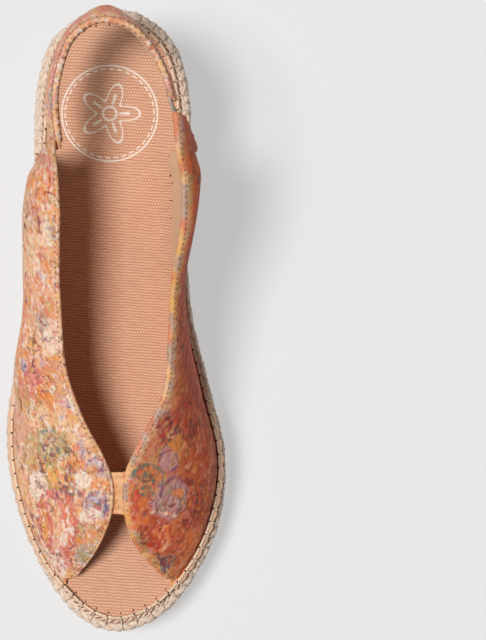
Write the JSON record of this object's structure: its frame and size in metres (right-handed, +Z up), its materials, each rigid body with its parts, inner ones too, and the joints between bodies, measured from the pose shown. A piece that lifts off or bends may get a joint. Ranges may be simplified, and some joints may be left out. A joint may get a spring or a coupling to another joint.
{
  "type": "wedge sandal",
  "caption": "Peep-toe slingback espadrille on a jute-wrapped wedge, with a printed fabric upper; the heel strap swings and its elastic stretches.",
  "frame": {"origin": "on the ground, under the middle of the sandal's bounding box", "axes": "+Z up from the ground, -Y to the toe and +Y to the heel, +X to the medial side (towards the other foot)"},
  "size_m": [0.0863, 0.2434, 0.1102],
  "materials": {
    "outsole_rubber": "matt crepe rubber with cross grooves",
    "wedge_foam": "closed-cell EVA foam, rough cut",
    "fibre_board": "pressed fibre board",
    "cushion_foam": "soft open foam",
    "insole_canvas": "coarse plain-weave canvas in tan",
    "jute": "braided jute yarn, hairy and matt",
    "printed_fabric": "satin cotton with a painterly flower print in orange, red, pink, lavender and teal",
    "stiffener_cloth": "stiff fused interlining",
    "lining_cloth": "plain matt cotton",
    "woven_elastic": "ribbed woven elastic in greige",
    "sewing_cord": "waxed cream cord"
  },
  "bodies": {
    "shoe": {"outsole": "outsole_rubber", "wedge_core": "wedge_foam", "insole_board": "fibre_board", "insole_cushion": "cushion_foam", "insole_cover": "insole_canvas", "jute_braid_1_top": "jute", "jute_braid_2": "jute", "jute_braid_3": "jute", "jute_braid_4": "jute", "jute_braid_5": "jute", "jute_braid_6": "jute", "jute_braid_7": "jute", "upper_lateral": "printed_fabric", "upper_medial": "printed_fabric", "throat_bridge": "printed_fabric", "stiffener_lateral": "stiffener_cloth", "stiffener_medial": "stiffener_cloth", "lining_lateral": "lining_cloth", "lining_medial": "lining_cloth", "edge_seam_cord": "sewing_cord"},
    "strap_anchor": {"strap_elastic": "woven_elastic"},
    "sling": {"heel_strap": "printed_fabric", "heel_strap_lining": "lining_cloth"}
  },
  "joints": [
    {"name": "elastic_stretch", "type": "hinge", "parent": "shoe", "child": "strap_anchor", "pos_m": [-0.0198, 0.0681, 0.0997], "axis": [0, 0, 1], "range_deg": [0, 7], "stiffness_Nm_per_rad": 0.7, "deforming": ["strap_elastic"]},
    {"name": "strap_swing", "type": "hinge", "parent": "strap_anchor", "child": "sling", "pos_m": [-0.0198, 0.0681, 0.0997], "axis": [0.9241, 0.3801, 0.039], "range_deg": [-35, 25], "stiffness_Nm_per_rad": 0.08}
  ]
}
